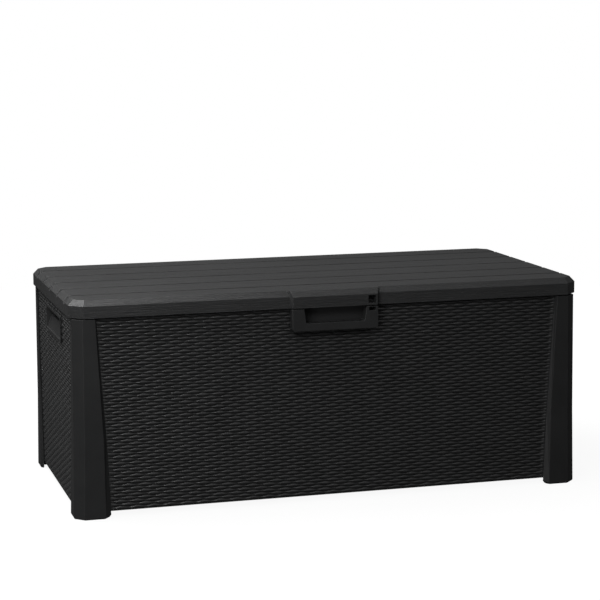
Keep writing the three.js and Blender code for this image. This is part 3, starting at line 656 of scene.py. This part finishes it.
def make_strut(side):
    """The cylinder on the box's stud and the rod on the lid's, in line with each other."""
    joints = {joint["name"]: Vector(joint["pos_m"]) for joint in frame["joints"]}
    foot, head = joints[f"{side}_cylinder_pivot"], joints[f"{side}_rod_pivot"]
    span = (head - foot).length / MM
    stand = Matrix.Translation(foot) @ (head - foot).to_track_quat("Z", "Y").to_matrix().to_4x4()
    tube = [
        (0, EYE_TOP),
        (TUBE_NECK - 0.4, EYE_TOP),
        (TUBE_NECK, EYE_TOP + 0.5),
        (TUBE_NECK, 15),
        (6.2, 16),
        (8, 16.6),
        (8.8, 18),
        (TUBE_RADIUS, 20),
        (TUBE_RADIUS, TUBE_TOP - 19),
        (GROOVE_RADIUS, TUBE_TOP - 17),
        (GROOVE_RADIUS, TUBE_TOP - 14),
        (TUBE_RADIUS, TUBE_TOP - 12),
        (TUBE_RADIUS, TUBE_TOP - 4),
        (8.4, TUBE_TOP - 1.4),
        (6.8, TUBE_TOP),
        (TUBE_MOUTH, TUBE_TOP),
        (TUBE_MOUTH, TUBE_TOP - 8),
        (TUBE_BORE, TUBE_TOP - 8),
        (TUBE_BORE, 24),
        (0, 24),
    ]
    body = combined(placed(turned(tube), stand), eye(foot), "UNION")
    cylinder = f"{side}_strut_cylinder"
    mesh = smooth(body, STRUT_SHARP)
    add_piece(cylinder + "_look", mesh, body_of_node(cylinder), "strut_paint", (cylinder,))
    rod = [
        (0, span - ROD_LENGTH),
        (ROD_RADIUS - 0.4, span - ROD_LENGTH),
        (ROD_RADIUS, span - ROD_LENGTH + 0.6),
        (ROD_RADIUS, SLEEVE_START),
        (ROD_SLEEVE, SLEEVE_START + 0.6),
        (ROD_SLEEVE, span - EYE_TOP),
        (0, span - EYE_TOP),
    ]
    body = combined(placed(turned(rod), stand), eye(head), "UNION")
    name = f"{side}_strut_rod"
    add_piece(name + "_look", smooth(body, STRUT_SHARP), body_of_node(name), "strut_rod", (name,))


make_strut("left")
make_strut("right")

# ---------------------------------------------------------------- hinges and fittings
# The nodes still shown after the hinge leaves are the steel pins, studs, screws, brackets and tubes.
FITTING_FLAT_FACE = 3e-4  # square metres

for place in ("left", "centre", "right"):
    for leaf in ("body_leaf", "lid_leaf"):
        refine(f"hinge_{place}_{leaf}", "frame_plastic", 0.7)
for name in sorted(nodes):
    if not nodes[name].hide_render:
        refine(name, "zinc_steel", 0.25, segments=2, flat_over=FITTING_FLAT_FACE)


# ---------------------------------------------------------------- floor and light
FLOOR_RADIUS = 4.0
FLOOR_DROP = 0.5 * MM  # below the feet
FLOOR_FADE = (0.7, 2.0)  # the floor brightens to white between these distances from the middle
FLOOR_GLOW = 0.93
FLOOR_GREY = 0.06
SURROUND_RADIUS = 60
DOME = (("From Min", -0.1), ("From Max", 0.9), ("To Min", 0.08), ("To Max", 0.285))


def hidden_from(obj, *rays):
    for ray in rays:
        setattr(obj, "visible_" + ray, False)


def make_floor():
    """A pale floor that fades into the backdrop. The object doesn't mirror it."""
    bm = bmesh.new()
    bmesh.ops.create_circle(bm, cap_ends=True, segments=96, radius=FLOOR_RADIUS)
    floor = bpy.data.objects.new("floor", mesh_from(bm, "floor"))
    floor.location.z = -FLOOR_DROP
    bpy.context.scene.collection.objects.link(floor)
    paint = Paint("pale_floor")
    length = paint.tree.nodes.new("ShaderNodeVectorMath")
    length.operation = "LENGTH"
    paint.join(paint.place, length.inputs[0])
    paint.join(
        paint.span(length.outputs["Value"], *FLOOR_FADE, FLOOR_GLOW, 1.0, True),
        paint.shader.inputs["Emission Strength"],
    )
    paint.colour(grey(FLOOR_GREY, 1))
    paint.fixed("Roughness", 0.9)
    paint.fixed("Specular IOR Level", 0.0)
    paint.fixed("Emission Color", (1, 1, 1, 1))
    floor.data.materials.append(paint.material)
    hidden_from(floor, "glossy", "diffuse", "transmission", "shadow")


def make_backdrop():
    """A white surround behind everything, which lights nothing."""
    bm = bmesh.new()
    bmesh.ops.create_icosphere(bm, subdivisions=4, radius=SURROUND_RADIUS)
    backdrop = bpy.data.objects.new("backdrop", mesh_from(bm, "backdrop"))
    bpy.context.scene.collection.objects.link(backdrop)
    material = bpy.data.materials.new("white_surround")
    material.use_nodes = True
    tree = material.node_tree
    tree.nodes.clear()
    glow = tree.nodes.new("ShaderNodeEmission")
    glow.inputs["Strength"].default_value = 1.0
    out = tree.nodes.new("ShaderNodeOutputMaterial")
    tree.links.new(glow.outputs[0], out.inputs["Surface"])
    backdrop.data.materials.append(material)
    hidden_from(backdrop, "glossy", "diffuse", "transmission", "shadow")


def make_world():
    """A dim dome, a little brighter overhead than at the horizon."""
    world = bpy.data.worlds.new("studio")
    bpy.context.scene.world = world
    world.use_nodes = True
    tree = world.node_tree
    tree.nodes.clear()
    out = tree.nodes.new("ShaderNodeOutputWorld")
    shade = tree.nodes.new("ShaderNodeBackground")
    tree.links.new(shade.outputs[0], out.inputs[0])
    place = tree.nodes.new("ShaderNodeTexCoord")
    split = tree.nodes.new("ShaderNodeSeparateXYZ")
    tree.links.new(place.outputs["Generated"], split.inputs[0])
    rise = tree.nodes.new("ShaderNodeMapRange")
    rise.interpolation_type = "SMOOTHSTEP"
    tree.links.new(split.outputs["Z"], rise.inputs["Value"])
    for label, number in DOME:
        rise.inputs[label].default_value = number
    tree.links.new(rise.outputs["Result"], shade.inputs["Strength"])


def softbox(name, place, aim, size, power):
    """A soft rectangular lamp of this many watts at place, turned towards aim."""
    light = bpy.data.lights.new(name, "AREA")
    light.shape = "RECTANGLE"
    light.size, light.size_y = size
    light.energy = power
    lamp = bpy.data.objects.new(name, light)
    bpy.context.scene.collection.objects.link(lamp)
    lamp.location = place
    lamp.rotation_mode = "QUATERNION"
    lamp.rotation_quaternion = (Vector(place) - Vector(aim)).to_track_quat("Z", "Y")
    lamp.visible_camera = False
    return lamp


make_floor()
make_backdrop()
make_world()
softbox("key", (-1.9, 0.9, 3.2), (-0.2, 0, 0.5), (3.0, 2.4), 140)
softbox("overhead", (-0.9, -0.2, 2.9), (-0.1, 0, 0.4), (1.8, 1.0), 46)
softbox("front_high", (-1.9, -3.0, 2.4), (0, 0, 0.3), (1.4, 1.0), 75)
softbox("front_right", (0.9, -3.2, 2.4), (0, 0, 0.3), (1.4, 1.0), 7)
softbox("front_fill", (-3.0, -3.4, 0.8), (-0.2, 0, 0.3), (1.8, 1.4), 46)
right_fill = softbox("right_fill", (3.2, 1.2, 1.6), (0.3, 0, 0.3), (1.6, 1.6), 10)
hidden_from(right_fill, "glossy")
bpy.context.scene.view_settings.view_transform = "Standard"
